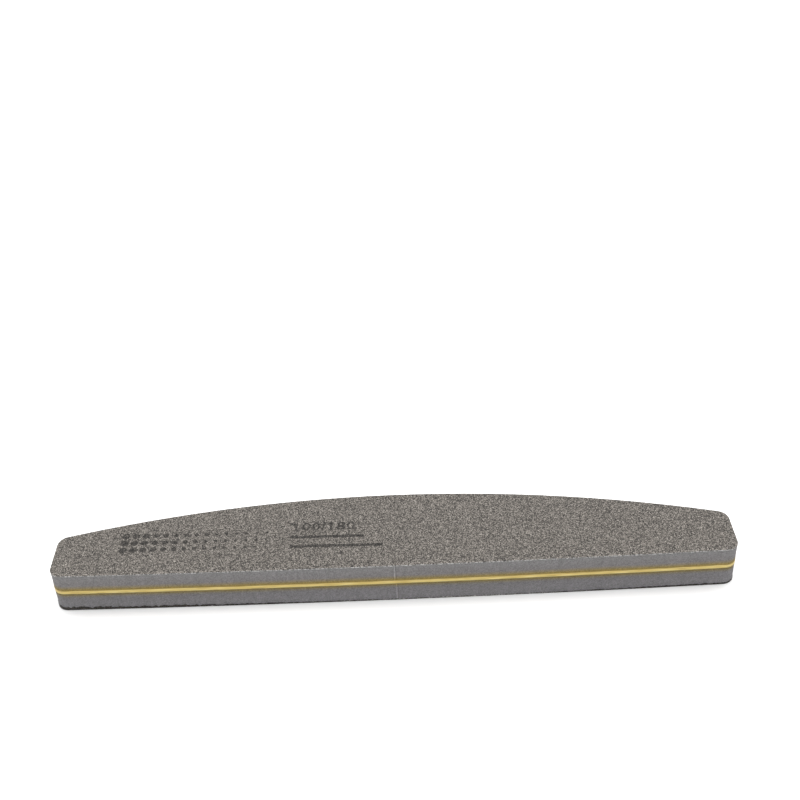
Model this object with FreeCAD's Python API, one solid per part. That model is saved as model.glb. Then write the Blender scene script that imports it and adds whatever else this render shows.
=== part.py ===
"""Half-moon nail buffer block: a bonded laminate that is die-cut to its outline.

From the resting face up it holds a fine abrasive sheet, a foam pad, the stiff core strip, a
second foam pad and a coarse abrasive sheet. Each abrasive sheet is a grit coat on a backing,
and a film of adhesive joins every pair of neighbours. The maker's ink marks lie level with the
coarse face, soaked in between its grains.

Units are millimetres, with +Z up. The origin is on the resting face, below the centre of the
block. +X runs along the block, and +Y points from the nearly straight edge to the arched edge.
"""

import FreeCAD, Part
import os
from math import asin, cos, radians, sin

# Outline, seen from above
BLOCK_LENGTH = 178.0
BLOCK_WIDTH = 28.0
END_FACE_WIDTH = 14.4  # each square end, before its corners are rounded
FRONT_EDGE_BOW = 0.95  # the nearly straight edge swells outward by this much at mid-length
CORNER_RADIUS = 3.2

# Layers, as thicknesses
BLOCK_THICKNESS = 12.3
CORE_THICKNESS = 1.1
LOWER_FOAM_THICKNESS = 5.3
ADHESIVE_THICKNESS = 0.05
BACKING_THICKNESS = 0.25
COARSE_GRIT_THICKNESS = 0.20  # about one 100-grit grain and its resin
FINE_GRIT_THICKNESS = 0.10  # about one 180-grit grain and its resin
SHEETS_THICKNESS = 2 * BACKING_THICKNESS + COARSE_GRIT_THICKNESS + FINE_GRIT_THICKNESS
BONDS_THICKNESS = 4 * ADHESIVE_THICKNESS
FOAMS_THICKNESS = BLOCK_THICKNESS - CORE_THICKNESS - SHEETS_THICKNESS - BONDS_THICKNESS
UPPER_FOAM_THICKNESS = FOAMS_THICKNESS - LOWER_FOAM_THICKNESS

# Ink marks on the coarse face
INK_DEPTH = 0.05
INK_STROKE = 0.58
PRINT_TURN = -1.0  # the whole print sits a little askew on the face, in degrees about its centre
SCALE_LEFT = -71.0
SCALE_RIGHT = -33.5
SCALE_MIDDLE = -2.9
SCALE_ROWS = 3
SCALE_COLUMNS = 15
SCALE_ROW_PITCH = 2.7
COARSEST_DOT = 2.2
FINEST_DOT = 0.7
TEXT_LEFT = -27.1
DIGIT_WIDTH = 2.15
DIGIT_HEIGHT = 3.15
DIGIT_PITCH = 2.65
SLASH_PITCH = 1.3
FLAG_ANGLE = 40  # the flag at the top of a 1, up from the X axis, in degrees
SLASH_ANGLE = 75
EIGHT_LOWER_SHARE = 0.56  # the lower ring's share of an 8's height
EIGHT_UPPER_WIDTH = 0.88  # the upper ring's width, as a share of the digit's
NUMBER_BOTTOM = 0.2
RULE_THICKNESS = 1.0
RULES = ((19.4, -2.3), (24.3, -5.9))  # length, and the middle of its thickness in Y

FRONT_Y = -BLOCK_WIDTH / 2 + FRONT_EDGE_BOW  # the chord of the nearly straight edge
ARCH_Y = BLOCK_WIDTH / 2
TINY = 1e-6


def point(x, y, z=0.0):
    return FreeCAD.Vector(x, y, z)


def bowed_edge(corner, apex_y):
    """A shallow arc from a corner to its mirror image, in two halves that meet at mid-length."""
    half_length = corner.x
    bow = apex_y - corner.y
    radius = (half_length**2 + bow**2) / (2 * bow)
    half_angle = asin(half_length / radius) / 2
    quarter = point(radius * sin(half_angle), apex_y - radius * (1 - cos(half_angle)))
    apex = point(0, apex_y)
    first = Part.Arc(corner, quarter, apex)
    second = Part.Arc(apex, point(-quarter.x, quarter.y), point(-corner.x, corner.y))
    return [first.toShape(), second.toShape()]


def outline():
    """The half-moon face, with its corners still sharp."""
    half = BLOCK_LENGTH / 2
    shoulder = FRONT_Y + END_FACE_WIDTH
    front = bowed_edge(point(-half, FRONT_Y), -BLOCK_WIDTH / 2)
    arch = bowed_edge(point(half, shoulder), ARCH_Y)
    right_end = Part.makeLine(point(half, FRONT_Y), point(half, shoulder))
    left_end = Part.makeLine(point(-half, shoulder), point(-half, FRONT_Y))
    return Part.Face(Part.Wire(front + [right_end] + arch + [left_end]))


def corner_edges(solid):
    """The four upright corner edges at the ends of the block."""
    found = []
    for edge in solid.Edges:
        foot, head = [vertex.Point for vertex in edge.Vertexes]
        is_upright = abs(foot.x - head.x) < TINY and abs(foot.y - head.y) < TINY
        if is_upright and abs(foot.x) > BLOCK_LENGTH / 2 - TINY:
            found.append(edge)
    return found


def layer(bottom, thickness):
    """One flat layer of the laminate, with the block's whole outline."""
    face = outline()
    face.translate(point(0, 0, bottom))
    solid = face.extrude(point(0, 0, thickness))
    return solid.makeFillet(CORNER_RADIUS, corner_edges(solid))


def laminate():
    """Every layer by name, from the resting face up."""
    stack = [
        ("lower_grit_coat", FINE_GRIT_THICKNESS),
        ("lower_abrasive_backing", BACKING_THICKNESS),
        ("lower_sheet_adhesive", ADHESIVE_THICKNESS),
        ("lower_foam_pad", LOWER_FOAM_THICKNESS),
        ("lower_core_adhesive", ADHESIVE_THICKNESS),
        ("core_strip", CORE_THICKNESS),
        ("upper_core_adhesive", ADHESIVE_THICKNESS),
        ("upper_foam_pad", UPPER_FOAM_THICKNESS),
        ("upper_sheet_adhesive", ADHESIVE_THICKNESS),
        ("upper_abrasive_backing", BACKING_THICKNESS),
        ("upper_grit_coat", COARSE_GRIT_THICKNESS),
    ]
    layers = {}
    bottom = 0.0
    for name, thickness in stack:
        layers[name] = layer(bottom, thickness)
        bottom += thickness
    return layers


def disc(x, y, radius):
    return Part.makeCylinder(radius, INK_DEPTH, point(x, y, BLOCK_THICKNESS - INK_DEPTH))


def bar(x, y, length, width, angle=0.0):
    """A straight mark centred on x, y, turned by an angle in degrees."""
    solid = Part.makeBox(length, width, INK_DEPTH, point(-length / 2, -width / 2, 0))
    solid.rotate(point(0, 0), point(0, 0, 1), angle)
    solid.translate(point(x, y, BLOCK_THICKNESS - INK_DEPTH))
    return solid


def zero(x):
    return oval_ring(x, NUMBER_BOTTOM, DIGIT_WIDTH, DIGIT_HEIGHT)


def one(x):
    stem = bar(x, NUMBER_BOTTOM + DIGIT_HEIGHT / 2, INK_STROKE, DIGIT_HEIGHT)
    flag_length = DIGIT_WIDTH / 2
    flag_x = x - flag_length / 2 * cos(radians(FLAG_ANGLE))
    flag_top = NUMBER_BOTTOM + DIGIT_HEIGHT - INK_STROKE / 2
    flag_y = flag_top - flag_length / 2 * sin(radians(FLAG_ANGLE))
    return stem.fuse(bar(flag_x, flag_y, flag_length, INK_STROKE, FLAG_ANGLE)).removeSplitter()


def eight(x):
    """Two oval rings, the lower one larger, that share one stroke where they meet."""
    lower_height = EIGHT_LOWER_SHARE * DIGIT_HEIGHT
    upper_height = DIGIT_HEIGHT - lower_height + INK_STROKE
    upper_bottom = NUMBER_BOTTOM + lower_height - INK_STROKE
    lower = oval_ring(x, NUMBER_BOTTOM, DIGIT_WIDTH, lower_height)
    upper = oval_ring(x, upper_bottom, EIGHT_UPPER_WIDTH * DIGIT_WIDTH, upper_height)
    return lower.fuse(upper).removeSplitter()


def oval_ring(x, bottom, width, height):
    """An oval of one stroke's thickness that stands on its bottom."""
    middle = bottom + height / 2
    inner = oval(x, middle, width - 2 * INK_STROKE, height - 2 * INK_STROKE)
    return oval(x, middle, width, height).cut(inner)


def oval(x, y, width, height):
    """An elliptical mark. Its long axis may be either of the two."""
    long_half, short_half = max(width, height) / 2, min(width, height) / 2
    ellipse = Part.Ellipse(point(0, 0), long_half, short_half).toShape()
    if height > width:
        ellipse.rotate(point(0, 0), point(0, 0, 1), 90)
    face = Part.Face(Part.Wire([ellipse]))
    face.translate(point(x, y, BLOCK_THICKNESS - INK_DEPTH))
    return face.extrude(point(0, 0, INK_DEPTH))


def slash(x):
    length = DIGIT_HEIGHT / sin(radians(SLASH_ANGLE))
    return bar(x, NUMBER_BOTTOM + DIGIT_HEIGHT / 2, length, INK_STROKE, SLASH_ANGLE)


def grit_number():
    """The two grit numbers of the block, coarse before fine, as plain single-stroke figures."""
    figures = []
    left = TEXT_LEFT
    for figure in (one, zero, zero, slash, one, eight, zero):
        pitch = SLASH_PITCH if figure is slash else DIGIT_PITCH
        figures.append(figure(left + pitch / 2))
        left += pitch
    return figures


def grit_scale():
    """Rows of dots that shrink evenly, in ratio, from the coarse end to the fine end."""
    dots = []
    for column in range(SCALE_COLUMNS):
        share = column / (SCALE_COLUMNS - 1)
        x = SCALE_LEFT + share * (SCALE_RIGHT - SCALE_LEFT)
        radius = COARSEST_DOT / 2 * (FINEST_DOT / COARSEST_DOT) ** share
        for row in range(SCALE_ROWS):
            y = SCALE_MIDDLE + (row - (SCALE_ROWS - 1) / 2) * SCALE_ROW_PITCH
            dots.append(disc(x, y, radius))
    return dots


def plain_rules():
    """Two blank rules under the grit number."""
    return [bar(TEXT_LEFT + length / 2, y, length, RULE_THICKNESS) for length, y in RULES]


def build():
    """Every sub-part by name. The ink fills shallow pockets in the coarse grit coat."""
    parts = laminate()
    marks = {
        "printed_grit_number": grit_number(),
        "printed_grit_scale": grit_scale(),
        "printed_rules": plain_rules(),
    }
    for name, solids in marks.items():
        for solid in solids:
            solid.rotate(point(0, 0), point(0, 0, 1), PRINT_TURN)
        parts[name] = Part.makeCompound(solids)
        parts["upper_grit_coat"] = parts["upper_grit_coat"].cut(solids)
    return parts


os.makedirs("parts", exist_ok=True)
for name, shape in build().items():
    shape.exportStep("parts/" + name + ".step")
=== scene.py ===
"""Looks of the nail buffer block: cut foam walls, rough abrasive sheets, a streaked core and ink.

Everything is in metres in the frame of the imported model. The fine shape of each layer is built
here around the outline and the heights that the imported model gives.
"""

import math

import bpy
import numpy as np
from mathutils import Euler, Matrix, Vector
from mathutils.bvhtree import BVHTree
from mathutils.geometry import delaunay_2d_cdt


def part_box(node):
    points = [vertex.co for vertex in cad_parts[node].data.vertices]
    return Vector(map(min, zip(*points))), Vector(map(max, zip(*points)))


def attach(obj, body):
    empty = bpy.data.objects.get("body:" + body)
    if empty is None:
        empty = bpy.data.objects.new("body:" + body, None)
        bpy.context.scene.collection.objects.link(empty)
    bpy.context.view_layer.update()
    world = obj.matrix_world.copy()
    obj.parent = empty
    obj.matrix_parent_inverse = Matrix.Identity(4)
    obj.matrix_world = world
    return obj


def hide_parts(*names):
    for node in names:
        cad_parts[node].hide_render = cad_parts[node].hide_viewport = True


MM = 0.001

# Meshes
WALL_STEP = 0.20 * MM  # between neighbouring points along the outline
GRAIN_STEP = 0.24 * MM  # between neighbouring points on an abrasive face
CORNER_BLUR = 4
SIDE_STRIDE = 4  # the outline is so fine that every fourth of its sides can stand for it
PLACES = 7  # decimals of a metre that tell the CAD corners apart
TINY = 1e-6
INSIDE_ONLY = 1  # the triangulation's setting that keeps only what is inside the outline
MERGE_REACH = 1e-9

# Noise, whose blurs are all counted in passes
SEED = 20
SPREAD = 2.5  # the standard deviations that count as 1

# Foam pads
FOAM_ROWS = 25
FOAM_HOLLOW = 0.07 * MM  # how far the wall stands back between its bonded edges
FOAM_CELL = 0.20 * MM
CELL_RELIEF = 0.03 * MM
HELD_EDGE = 1.5  # how steeply the relief fades out towards the bonded edges
WAVE_BLUR = 600  # leaves slow waves along the wall, 15 to 20 mm long
MARK_DEPTH = 0.012 * MM
MARK_LIGHT = 0.05  # painted light and shade on the die's scores: lighter where raised, darker where sunk
FINE_MARKS = 0.6  # the finer scores' share of the whole
BROAD_MARK_BLUR = 8
SEAM_LOWER_X = 0.42 * MM
SEAM_UPPER_X = 0.1 * MM
SEAM_HEIGHT = 0.12 * MM
GROOVE_SHARE = 0.6  # the depth of the groove beside the seam, as a share of its height
GROOVE_GAP = 2  # in steps of the outline
PAINTED_LIGHT_REACH = 5 * MM  # painted light and shade on the foam reach this far either side of the core's middle

# Core strip
CORE_PROFILE = (-0.04, 0.0, 0.01, 0.0, -0.035, 0.015, 0.02, 0.01, -0.03)  # mm outward, going up
CORE_RAGGED = 0.015 * MM
CORE_BLUR = 6
STREAK_STRETCH = 0.03  # the streaks' scale along the strip, as a share of their scale across it

# Abrasive sheets
BACKING_RISE = (0.0, 0.15, 0.5, 0.85, 1.0)  # shares of the backing's thickness
BACKING_PROUD = (0.0, 0.03, 0.04, 0.03, 0.0)  # mm outward at each of them
BACKING_FRAY = 0.02 * MM
EDGE_LOOPS = (0.12 * MM, 0.26 * MM, 0.42 * MM)  # loops of grains that follow the cut, by inset
EDGE_WANDER = 0.02 * MM
LATTICE_INSET = 0.55 * MM  # from here inward the grains lie on a jittered lattice
LATTICE_JITTER = 0.3  # of the lattice's step
COARSE_GRAIN = 0.19 * MM
FINE_GRAIN = 0.11 * MM
FINE_TONE = 0.6  # of the coarse coat's tone
FACET_SHARE = 0.2  # how much of a grain's shade comes from the facet it lies on
COARSE_RELIEF = 0.11 * MM
FINE_RELIEF = 0.045 * MM
DEEPEST = 0.9  # of a coat's thickness
ROLL_RADIUS = 0.40 * MM
ROLL_SHARE = 0.75  # of a coat's thickness, taken up by the bend at its cut edge
SHEEN_AND_WEAR_EDGE = 0.32 * MM  # strip along the cut with painted sheen of the rolled edge and worn grains
SHEEN_AND_WEAR_TONE = 0.5  # how much lighter painted sheen and wear make that strip's facets
SHEEN_AND_WEAR_LIMIT = 1.2
LIP_LEFT_HEIGHT = 1.1 * MM  # how far the die dragged the fine coat up over the edge at the left
LIP_LEAST_HEIGHT = 0.16 * MM
LIP_LEAST_X = 18 * MM
LIP_THICKNESS = 0.06 * MM
LIP_TEETH = 0.5  # how far the lip's fine teeth and its slow waves reach, as shares of its height
LIP_TEETH_BLUR = 3
LIP_WAVES = 0.12
LIP_WAVES_BLUR = 20
LIP_ROUGHNESS = 0.4  # of its thickness
LIP_TONE = 0.32  # of the face's tone

# Ink
INK_LIFT = 0.012 * MM
INK_COVER = 0.95  # share of the grains in a mark that took the ink
INK_TONE = 0.28  # of the bare grains' tone

# Floor and light
FLOOR_REACH = 4.0
FLOOR_TONE = 0.89
LAMP_STRENGTH = 5.5
LAMP_WIDTH = 80  # degrees
LAMP_TILT = -12
SKY_LIGHT = 0.16
SKY_SEEN = 1.05

# Camera: where it stands, and how it is turned, in degrees
CAMERA_PLACE = (3.84 * MM, -239.54 * MM, 225.42 * MM)
CAMERA_TURN = -0.133
CAMERA_DIP = 35.575
CAMERA_ROLL = 2.391
CAMERA_LENS = 54.085

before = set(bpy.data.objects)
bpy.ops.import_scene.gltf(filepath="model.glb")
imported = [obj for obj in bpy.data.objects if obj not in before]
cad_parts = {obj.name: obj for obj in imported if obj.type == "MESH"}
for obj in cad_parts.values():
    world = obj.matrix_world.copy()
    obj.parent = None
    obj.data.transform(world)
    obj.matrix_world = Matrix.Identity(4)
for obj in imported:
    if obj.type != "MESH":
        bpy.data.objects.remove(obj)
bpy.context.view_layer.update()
random = np.random.default_rng(SEED)


# ---------------------------------------------------------------- outline and noise


def heights(node):
    """The heights of a flat layer's underside and top."""
    low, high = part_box(node)
    return low.z, high.z


def cad_outline(node):
    """The node's convex outline seen from above, counter-clockwise, from its lowest corners."""
    lowest, _ = heights(node)
    corners = {
        (round(v.co.x, PLACES), round(v.co.y, PLACES))
        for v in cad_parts[node].data.vertices
        if abs(v.co.z - lowest) < TINY
    }
    points = np.array(sorted(corners))
    middle = (points.min(0) + points.max(0)) / 2
    turn = np.arctan2(points[:, 1] - middle[1], points[:, 0] - middle[0])
    return points[np.argsort(turn)]


def even_outline(points, step):
    """The same closed outline in even steps, with the CAD mesh's flat facets rounded off."""
    closed = np.vstack([points, points[:1]])
    run = np.concatenate([[0], np.cumsum(np.linalg.norm(np.diff(closed, axis=0), axis=1))])
    count = int(run[-1] / step)
    along = np.arange(count) * run[-1] / count
    even = np.stack([np.interp(along, run, closed[:, k]) for k in (0, 1)], axis=1)
    return soften(even, CORNER_BLUR)


def outward(points):
    """Unit normals that point out of a counter-clockwise outline."""
    tangent = np.roll(points, -1, axis=0) - np.roll(points, 1, axis=0)
    tangent /= np.linalg.norm(tangent, axis=1)[:, None]
    return np.stack([tangent[:, 1], -tangent[:, 0]], axis=1)


def soften(values, passes, axis=0):
    """Blurs values along an axis that closes on itself."""
    for _ in range(passes):
        values = (np.roll(values, 1, axis) + 2 * values + np.roll(values, -1, axis)) / 4
    return values


def grain(shape, passes_along=1, passes_up=0):
    """Random values from -1 to 1, blurred along the outline, and up the wall if asked."""
    values = soften(random.standard_normal(shape), passes_along)
    if passes_up:
        values = soften(values, passes_up, axis=1)
    return np.clip(values / (SPREAD * values.std()), -1, 1)


def front_index(x):
    """The index of the outline's point on the front side that is nearest to x."""
    distance = np.where(OUTLINE[:, 1] < 0, np.abs(OUTLINE[:, 0] - x), np.inf)
    return int(np.argmin(distance))


OUTLINE = even_outline(cad_outline("core_strip"), WALL_STEP)
NORMALS = outward(OUTLINE)
COUNT = len(OUTLINE)
HERE = np.arange(COUNT)
AFTER = (HERE + 1) % COUNT


# ---------------------------------------------------------------- meshes


def piece(name, vertices, faces, material, slot, replaced, smooth=True):
    """A finished mesh that rides on the block and stands for a CAD node."""
    mesh = bpy.data.meshes.new(name)
    mesh.from_pydata([tuple(v) for v in vertices], [], [tuple(f) for f in faces])
    mesh.polygons.foreach_set("use_smooth", [smooth] * len(mesh.polygons))
    mesh.materials.append(material)
    mesh.update()
    made = bpy.data.objects.new(name, mesh)
    bpy.context.scene.collection.objects.link(made)
    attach(made, "root")
    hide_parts(replaced)
    return made


def store(made, name, domain, values):
    """Keeps one number for each point or face of a mesh, for its material to read."""
    attribute = made.data.attributes.new(name, "FLOAT", domain)
    attribute.data.foreach_set("value", np.asarray(values, np.float32))


def ring(offset, height):
    """One closed loop of points, at an outward offset from the outline and at a height."""
    flat = OUTLINE + NORMALS * np.broadcast_to(offset, COUNT)[:, None]
    return np.column_stack([flat, np.broadcast_to(height, COUNT)])


def hub(loop):
    """The middle of a loop at its mean height, where the fan that closes it meets."""
    return [[0, 0, loop[:, 2].mean()]]


def skin(rings):
    """Quads between stacked loops, closed by a fan of triangles at the bottom and at the top."""
    vertices = np.vstack(rings + [hub(rings[0]), hub(rings[-1])])
    faces = []
    for row in range(len(rings) - 1):
        low = row * COUNT
        high = low + COUNT
        faces += np.stack([low + HERE, low + AFTER, high + AFTER, high + HERE], axis=1).tolist()
    last = (len(rings) - 1) * COUNT
    bottom_hub = np.full(COUNT, len(rings) * COUNT)
    faces += np.stack([AFTER, HERE, bottom_hub], axis=1).tolist()
    faces += np.stack([last + HERE, last + AFTER, bottom_hub + 1], axis=1).tolist()
    return vertices, faces


# ---------------------------------------------------------------- materials


def connect(tree, value, socket):
    if isinstance(value, bpy.types.NodeSocket):
        tree.links.new(value, socket)
    else:
        socket.default_value = value


def add(tree, kind, inputs=None, **settings):
    """A shader node with its settings and inputs filled in. An input is a value or a socket."""
    made = tree.nodes.new(kind)
    for key, value in settings.items():
        setattr(made, key, value)
    for key, value in (inputs or {}).items():
        connect(tree, value, made.inputs[key])
    return made


def new_material(name, roughness, specular=0.5):
    material = bpy.data.materials.new(name)
    material.use_nodes = True
    shader = material.node_tree.nodes["Principled BSDF"]
    shader.inputs["Roughness"].default_value = roughness
    shader.inputs["Specular IOR Level"].default_value = specular
    return material, material.node_tree, shader


def place(tree):
    return add(tree, "ShaderNodeTexCoord").outputs["Object"]


def noise(tree, spot, scale, detail, roughness=0.5):
    inputs = {"Vector": spot, "Scale": scale, "Detail": detail, "Roughness": roughness}
    return add(tree, "ShaderNodeTexNoise", inputs).outputs["Fac"]


def cells(tree, spot, size):
    """A random number for each cell of a size, and the distance from the cell's middle."""
    made = add(tree, "ShaderNodeTexVoronoi", {"Vector": spot, "Scale": 1 / size}, feature="F1")
    parts = add(tree, "ShaderNodeSeparateColor", {"Color": made.outputs["Color"]})
    return parts.outputs["Red"], made.outputs["Distance"]


def rise_between(tree, spot, low, high):
    """A factor that goes from 0 to 1 between two heights."""
    height = add(tree, "ShaderNodeSeparateXYZ", {"Vector": spot}).outputs["Z"]
    inputs = {"Value": height, "From Min": low, "From Max": high}
    return add(tree, "ShaderNodeMapRange", inputs).outputs[0]


def stored(tree, name):
    """The number that a mesh keeps under a name."""
    return add(tree, "ShaderNodeAttribute", attribute_name=name).outputs["Fac"]


def ramp(tree, factor, stops):
    """A colour that follows a factor through stops. A stop's colour may be one number, a grey."""
    made = add(tree, "ShaderNodeValToRGB", {"Fac": factor})
    elements = made.color_ramp.elements
    while len(elements) < len(stops):
        elements.new(0.5)
    for element, (position, colour) in zip(elements, stops):
        element.position = position
        element.color = (*np.broadcast_to(colour, 3), 1)
    return made.outputs["Color"]


def tinted(tree, colour, *tints):
    """A colour multiplied by each of the tints. A mix node has its colours at 6 and 7."""
    for tint in tints:
        made = add(tree, "ShaderNodeMix", data_type="RGBA", blend_type="MULTIPLY")
        for socket, value in ((0, 1.0), (6, colour), (7, tint)):
            connect(tree, value, made.inputs[socket])
        colour = made.outputs[2]
    return colour


def bump(tree, shader, height, strength, distance):
    inputs = {"Height": height, "Strength": strength, "Distance": distance}
    made = add(tree, "ShaderNodeBump", inputs)
    tree.links.new(made.outputs["Normal"], shader.inputs["Normal"])


def foam_material():
    """Grey closed-cell foam, cut through its cells, with painted light and shade that vary with height.
    """
    material, tree, shader = new_material("foam", roughness=0.9, specular=0.25)
    spot = place(tree)
    mottle = noise(tree, spot, scale=900, detail=6, roughness=0.7)
    grey = ramp(tree, mottle, [(0.3, (0.233, 0.232, 0.244)), (0.7, (0.284, 0.283, 0.296))])
    shade, from_middle = cells(tree, spot, FOAM_CELL)
    pores = ramp(tree, shade, [(0.0, 0.62), (1.0, 1.0)])
    core_middle = sum(heights("core_strip")) / 2
    from_core = rise_between(tree, spot, core_middle - PAINTED_LIGHT_REACH, core_middle + PAINTED_LIGHT_REACH)
    # painted light and shade by height: lighter low on the lower pad, darker towards the core, a dark
    # yellow painted shade just under the core and the core's yellow light painted on the foam just over
    # it
    stops = [
        (0.00, (1.10, 1.07, 1.06)),
        (0.30, (0.87, 0.84, 0.83)),
        (0.37, (0.92, 0.81, 0.54)),
        (0.43, (0.92, 0.72, 0.22)),
        (0.57, (1.29, 0.92, 0.21)),
        (0.63, (1.13, 0.92, 0.47)),
        (0.72, (0.95, 0.90, 0.86)),
        (1.00, (1.01, 1.00, 0.95)),
    ]
    painted_light_by_height = ramp(tree, from_core, stops)
    # painted highlight on the seam's ridge and raised scores, painted shade in the groove and sunken
    # scores
    relief_light = ramp(tree, stored(tree, "relief_light"), [(0.0, 0.6), (0.5, 1.0), (1.0, 1.7)])
    connect(tree, tinted(tree, grey, pores, painted_light_by_height, relief_light), shader.inputs["Base Color"])
    bump(tree, shader, from_middle, strength=0.5, distance=0.06 * MM)
    return material


def core_material():
    """Yellow plastic in fine streaks, with painted shade in deeper yellow along its lower and upper
    edges.
    """
    material, tree, shader = new_material("core_plastic", roughness=0.45)
    spot = place(tree)
    stretch = (STREAK_STRETCH, STREAK_STRETCH, 1.0)
    layered = add(tree, "ShaderNodeMapping", {"Vector": spot, "Scale": stretch}).outputs[0]
    streaks = noise(tree, layered, scale=7000, detail=3)
    stops = [
        (0.32, (0.48, 0.34, 0.08)),
        (0.50, (0.685, 0.525, 0.155)),
        (0.68, (0.83, 0.70, 0.31)),
    ]
    yellow = ramp(tree, streaks, stops)
    # painted shade along the core's edges, deepest at the bottom
    stops = [
        (0.00, (0.74, 0.68, 0.45)),
        (0.30, 1.0),
        (0.65, 0.98),
        (1.00, (0.88, 0.78, 0.50)),
    ]
    painted_edge_shade = ramp(tree, rise_between(tree, spot, *heights("core_strip")), stops)
    connect(tree, tinted(tree, yellow, painted_edge_shade), shader.inputs["Base Color"])
    bump(tree, shader, streaks, strength=0.4, distance=0.05 * MM)
    return material


def adhesive_material():
    material, tree, shader = new_material("adhesive", roughness=0.3)
    cloud = noise(tree, place(tree), scale=1500, detail=4)
    colour = ramp(tree, cloud, [(0.35, (0.16, 0.15, 0.12)), (0.65, (0.26, 0.24, 0.20))])
    connect(tree, colour, shader.inputs["Base Color"])
    return material


def paper_material():
    """The backing paper, as its cut edge shows it: pale fibres with dark gaps between them."""
    material, tree, shader = new_material("backing_paper", roughness=0.8)
    fibre = noise(tree, place(tree), scale=2400, detail=5)
    stops = [
        (0.35, (0.10, 0.099, 0.098)),
        (0.50, (0.25, 0.246, 0.242)),
        (0.62, (0.60, 0.59, 0.58)),
    ]
    connect(tree, ramp(tree, fibre, stops), shader.inputs["Base Color"])
    bump(tree, shader, fibre, strength=0.6, distance=0.05 * MM)
    return material


def grit_material(name, size, tone=1.0):
    """Mineral grains in resin. Each grain has its own shade, and so has every facet of the mesh."""
    material, tree, shader = new_material(name, roughness=0.55, specular=0.2)
    spot = place(tree)
    shade, _ = cells(tree, spot, size)
    facet = stored(tree, "grain")
    blend = add(tree, "ShaderNodeMix", {0: FACET_SHARE, 2: shade, 3: facet}).outputs[0]
    stops = [
        (0.15, (0.014, 0.013, 0.012)),
        (0.45, (0.059, 0.053, 0.047)),
        (0.75, (0.173, 0.156, 0.138)),
        (1.00, (0.360, 0.331, 0.298)),
    ]
    colour = ramp(tree, blend, [(position, tone * np.array(stop)) for position, stop in stops])
    connect(tree, colour, shader.inputs["Base Color"])
    chips = noise(tree, spot, scale=3 / size, detail=2)
    bump(tree, shader, chips, strength=0.5, distance=0.2 * size)
    return material


# ---------------------------------------------------------------- foam pads


def knife_marks():
    """Faint upright scores all round the wall, left by the die, from -1 to 1."""
    return grain(COUNT) * FINE_MARKS + grain(COUNT, BROAD_MARK_BLUR) * (1 - FINE_MARKS)


def seam(x):
    """The upright ridge where the ends of the die's blade meet, with a groove beside it."""
    profile = np.zeros(COUNT)
    ridge = front_index(x)
    profile[ridge] = 1.0
    profile[(ridge + GROOVE_GAP) % COUNT] = -GROOVE_SHARE
    return profile


def foam_pad(node, name, seam_x, material):
    """A foam layer whose wall sprang back hollow between its two bonded edges after the cut."""
    low, high = heights(node)
    rise = np.linspace(0, 1, FOAM_ROWS)
    arch = 4 * rise * (1 - rise)  # 0 at the bonded edges, 1 halfway between them
    relief = grain((COUNT, FOAM_ROWS), 1, 1) * CELL_RELIEF
    waves = grain((COUNT, 1), WAVE_BLUR) * FOAM_HOLLOW
    marks = knife_marks()
    ridge = seam(seam_x)
    upright = marks * MARK_DEPTH + ridge * SEAM_HEIGHT
    held = np.minimum(1, HELD_EDGE * arch)
    offsets = held * (relief + waves + upright[:, None]) - arch * FOAM_HOLLOW
    rings = [ring(offsets[:, row], low + rise[row] * (high - low)) for row in range(FOAM_ROWS)]
    made = piece(name, *skin(rings), material, "foam", node)
    # painted light and shade that follow the wall's relief: lighter on the seam's ridge and raised
    # scores, darker in its groove and sunken scores
    relief_light = np.clip(0.5 + MARK_LIGHT * marks + 0.5 * ridge, 0, 1)
    store(made, "relief_light", "POINT", np.append(np.tile(relief_light, FOAM_ROWS), [0.5, 0.5]))


# ---------------------------------------------------------------- core strip


def core_strip(material):
    """The plastic core. Its edge was part cut and part broken, so a fine step runs along it."""
    low, high = heights("core_strip")
    rows = len(CORE_PROFILE)
    ragged = grain((COUNT, rows), CORE_BLUR) * CORE_RAGGED
    rings = [
        ring(outset * MM + ragged[:, row], low + row / (rows - 1) * (high - low))
        for row, outset in enumerate(CORE_PROFILE)
    ]
    piece("core", *skin(rings), material, "core_plastic", "core_strip")


# ---------------------------------------------------------------- abrasive sheets


def backing(node, name, material):
    """A backing sheet, whose cut edge stands a little proud of the foam and is frayed."""
    low, high = heights(node)
    rings = [
        ring(proud * MM + grain(COUNT) * BACKING_FRAY, low + rise * (high - low))
        for rise, proud in zip(BACKING_RISE, BACKING_PROUD)
    ]
    piece(name, *skin(rings), material, "backing_paper", node)


def inset_of(points):
    """How far inside the outline each point lies. The outline is convex, so its sides decide."""
    inset = np.full(len(points), np.inf)
    for start in range(0, COUNT, SIDE_STRIDE):
        gap = (OUTLINE[start] - points) @ NORMALS[start]
        inset = np.minimum(inset, gap)
    return inset


def face_points():
    """Points over a whole face: the outline, loops that follow it, then a jittered lattice."""
    loops = [OUTLINE]
    for inset in EDGE_LOOPS:
        wander = random.uniform(-1, 1, COUNT) * EDGE_WANDER
        loops.append(OUTLINE - NORMALS * (inset + wander)[:, None])
    low, high = OUTLINE.min(0), OUTLINE.max(0)
    rows = np.arange(low[1], high[1], GRAIN_STEP * math.sqrt(3) / 2)
    columns = np.arange(low[0], high[0], GRAIN_STEP)
    lattice = [(x + (j % 2) * GRAIN_STEP / 2, y) for j, y in enumerate(rows) for x in columns]
    lattice = np.array(lattice)
    lattice += random.uniform(-LATTICE_JITTER, LATTICE_JITTER, lattice.shape) * GRAIN_STEP
    return np.vstack(loops + [lattice[inset_of(lattice) > LATTICE_INSET]])


def rolled(inset, drop):
    """How far the sheet's edge is bent towards the foam at each inset, up to a drop at the cut."""
    short = np.clip(1 - inset / ROLL_RADIUS, 0, 1)
    return drop * (1 - np.sqrt(1 - short**2))


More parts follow.
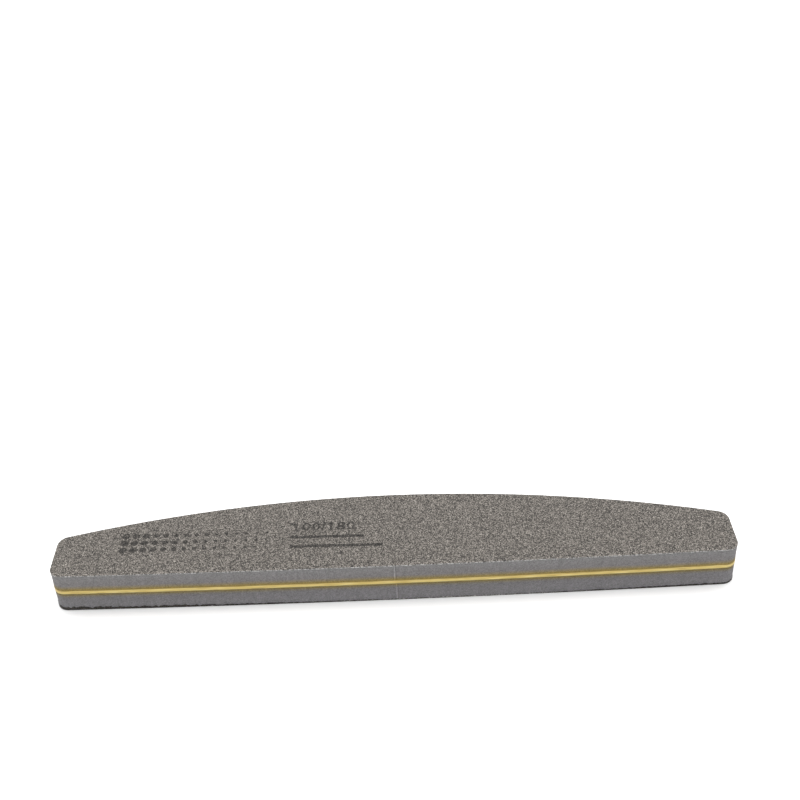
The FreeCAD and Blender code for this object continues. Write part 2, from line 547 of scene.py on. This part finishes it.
def grit_face(thickness, relief):
    """A face of grains: its flat points, their depths and insets, and the facets between them."""
    edge = list(zip(HERE.tolist(), AFTER.tolist()))
    spots = [Vector(p) for p in face_points()]
    flat, _, facets, *_ = delaunay_2d_cdt(spots, edge, [], INSIDE_ONLY, MERGE_REACH)
    flat = np.array(flat)
    inset = np.maximum(inset_of(flat), 0)
    depth = relief * random.random(len(flat)) + rolled(inset, ROLL_SHARE * thickness)
    return flat, np.minimum(depth, DEEPEST * thickness), inset, np.array(facets)


def coat_body(face, rings, facets):
    """A face closed by loops that go from its own edge to the side that meets the backing."""
    vertices = np.vstack([face] + rings + [hub(rings[-1])])
    starts = [0] + [len(face) + row * COUNT for row in range(len(rings))]
    sides = [
        np.stack([first + HERE, second + HERE, second + AFTER, first + AFTER], axis=1)
        for first, second in zip(starts, starts[1:])
    ]
    last_hub = np.full(COUNT, len(vertices) - 1)
    cap = np.stack([starts[-1] + HERE, last_hub, starts[-1] + AFTER], axis=1)
    return vertices, facets.tolist() + np.vstack(sides).tolist() + cap.tolist()


def fine_coat(material):
    """The lower coat, with the dark lip that the die dragged up over the sheet's edge."""
    low, high = heights("lower_grit_coat")
    flat, depth, _, facets = grit_face(high - low, FINE_RELIEF)
    vertices, faces = coat_body(np.column_stack([flat, low + depth]), lip(high), facets)
    faces = [corners[::-1] for corners in faces]
    made = piece("grit_lower", vertices, faces, material, "fine_grit", "lower_grit_coat", False)
    shades = random.random(len(faces))
    shades[len(facets) :] *= LIP_TONE
    store(made, "grain", "FACE", shades)


def lip(base):
    """Loops of the ragged lip of grit over the sheet's edge. It grows towards the ends."""
    x = OUTLINE[:, 0]
    away = (x - LIP_LEAST_X) / (x.min() - LIP_LEAST_X)
    height = LIP_LEAST_HEIGHT + (LIP_LEFT_HEIGHT - LIP_LEAST_HEIGHT) * away**2
    height *= 1 + LIP_TEETH * grain(COUNT, LIP_TEETH_BLUR) + LIP_WAVES * grain(COUNT, LIP_WAVES_BLUR)
    outer = LIP_THICKNESS * (1 + LIP_ROUGHNESS * grain(COUNT))
    inner = 0.25 * LIP_THICKNESS
    return [
        ring(outer, base - 0.5 * LIP_THICKNESS),
        ring(outer, base + 0.6 * height),
        ring(0.7 * outer, base + height),
        ring(inner, base + height - 0.3 * LIP_THICKNESS),
        ring(inner, base),
        ring(0, base),
    ]


def coarse_coat(material):
    """The upper coat, with painted sheen and wear along the rolled cut. The ink follows its facets."""
    low, high = heights("upper_grit_coat")
    flat, depth, inset, facets = grit_face(high - low, COARSE_RELIEF)
    vertices, faces = coat_body(np.column_stack([flat, high - depth]), [ring(0, low)], facets)
    made = piece("grit_upper", vertices, faces, material, "coarse_grit", "upper_grit_coat", False)
    shades = random.random(len(faces))
    # painted sheen of the rolled edge together with wear: the facets along the cut are lighter
    sheen_and_wear = np.flatnonzero(inset[facets].mean(1) < SHEEN_AND_WEAR_EDGE)
    shades[sheen_and_wear] = np.minimum(shades[sheen_and_wear] + SHEEN_AND_WEAR_TONE, SHEEN_AND_WEAR_LIMIT)
    store(made, "grain", "FACE", shades)
    return vertices, facets


# ---------------------------------------------------------------- ink


def inside_mark(node, points):
    """Which of the points lie above the flat ink solids of a CAD node."""
    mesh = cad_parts[node].data
    corners = [v.co for v in mesh.vertices]
    tree = BVHTree.FromPolygons(corners, [p.vertices for p in mesh.polygons])
    low, high = (np.array(corner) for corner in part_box(node))
    inside = np.all((points[:, :2] > low[:2]) & (points[:, :2] < high[:2]), axis=1)
    for i in np.flatnonzero(inside):
        above = Vector((points[i, 0], points[i, 1], high[2] + MM))
        inside[i] = tree.ray_cast(above, Vector((0, 0, -1)))[0] is not None
    return inside


def open_edges(triangles):
    """The directed edges that no neighbouring triangle shares."""
    edges = {edge: True for t in triangles.tolist() for edge in zip(t, t[1:] + t[:1])}
    return [(a, b) for a, b in edges if (b, a) not in edges]


def ink_mark(node, name, vertices, facets, material):
    """Ink on the grains that lie inside a printed mark, a little above them and closed below."""
    inked = facets[inside_mark(node, vertices[facets].mean(1))]
    inked = inked[random.random(len(inked)) < INK_COVER]
    used, flat = np.unique(inked, return_inverse=True)
    inked = flat.reshape(-1, 3)
    count = len(used)
    faces = inked.tolist() + (inked[:, ::-1] + count).tolist()
    faces += [(a + count, b + count, b, a) for a, b in open_edges(inked)]
    lift = [0, 0, INK_LIFT]
    body = np.vstack([vertices[used] + lift, vertices[used] - lift])
    made = piece(name, body, faces, material, "ink", node, smooth=False)
    store(made, "grain", "FACE", random.random(len(faces)))


# ---------------------------------------------------------------- the block

foam = foam_material()
foam_pad("lower_foam_pad", "foam_lower", SEAM_LOWER_X, foam)
foam_pad("upper_foam_pad", "foam_upper", SEAM_UPPER_X, foam)
core_strip(core_material())
paper = paper_material()
backing("lower_abrasive_backing", "backing_lower", paper)
backing("upper_abrasive_backing", "backing_upper", paper)
fine_coat(grit_material("fine_grit", FINE_GRAIN, FINE_TONE))
coat_vertices, coat_facets = coarse_coat(grit_material("coarse_grit", COARSE_GRAIN))
ink = grit_material("ink", COARSE_GRAIN, INK_TONE)
for mark in ("grit_number", "grit_scale", "rules"):
    ink_mark("printed_" + mark, "ink_" + mark, coat_vertices, coat_facets, ink)
adhesive = adhesive_material()
for film in ("lower_sheet", "lower_core", "upper_core", "upper_sheet"):
    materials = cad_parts[film + "_adhesive"].data.materials
    materials.clear()
    materials.append(adhesive)


# ---------------------------------------------------------------- floor, light and camera


def make_floor():
    mesh = bpy.data.meshes.new("floor")
    corners = ((-1, -1), (1, -1), (1, 1), (-1, 1))
    spots = [(x * FLOOR_REACH, y * FLOOR_REACH, 0) for x, y in corners]
    mesh.from_pydata(spots, [], [(0, 1, 2, 3)])
    material, _, shader = new_material("floor", roughness=0.9, specular=0.1)
    shader.inputs["Base Color"].default_value = (FLOOR_TONE, FLOOR_TONE, FLOOR_TONE, 1)
    mesh.materials.append(material)
    floor = bpy.data.objects.new("floor", mesh)
    bpy.context.scene.collection.objects.link(floor)


def make_light():
    """A wide soft lamp overhead, and a sky that looks brighter than the light it gives."""
    lamp = bpy.data.lights.new("softbox", "SUN")
    lamp.energy = LAMP_STRENGTH
    lamp.angle = math.radians(LAMP_WIDTH)
    made = bpy.data.objects.new("softbox", lamp)
    made.rotation_euler = Euler((math.radians(LAMP_TILT), 0, 0))
    bpy.context.scene.collection.objects.link(made)
    world = bpy.data.worlds.new("studio")
    bpy.context.scene.world = world
    world.use_nodes = True
    tree = world.node_tree
    sky = tree.nodes["Background"]
    sky.inputs["Color"].default_value = (1, 1, 1, 1)
    seen = add(tree, "ShaderNodeLightPath").outputs["Is Camera Ray"]
    strength = add(tree, "ShaderNodeMapRange", {"Value": seen, "To Min": SKY_LIGHT, "To Max": SKY_SEEN})
    connect(tree, strength.outputs[0], sky.inputs["Strength"])


def make_camera():
    camera = bpy.data.cameras.new("camera")
    camera.lens = CAMERA_LENS
    camera.sensor_width = 36
    camera.clip_start = 0.01
    made = bpy.data.objects.new("camera", camera)
    turn = Matrix.Rotation(math.radians(-CAMERA_TURN), 4, "Z")
    dip = Matrix.Rotation(math.radians(90 - CAMERA_DIP), 4, "X")
    roll = Matrix.Rotation(math.radians(-CAMERA_ROLL), 4, "Z")
    made.matrix_world = Matrix.Translation(CAMERA_PLACE) @ turn @ dip @ roll
    bpy.context.scene.collection.objects.link(made)
    bpy.context.scene.camera = made


make_floor()
make_light()
make_camera()
bpy.context.scene.view_settings.view_transform = "Standard"
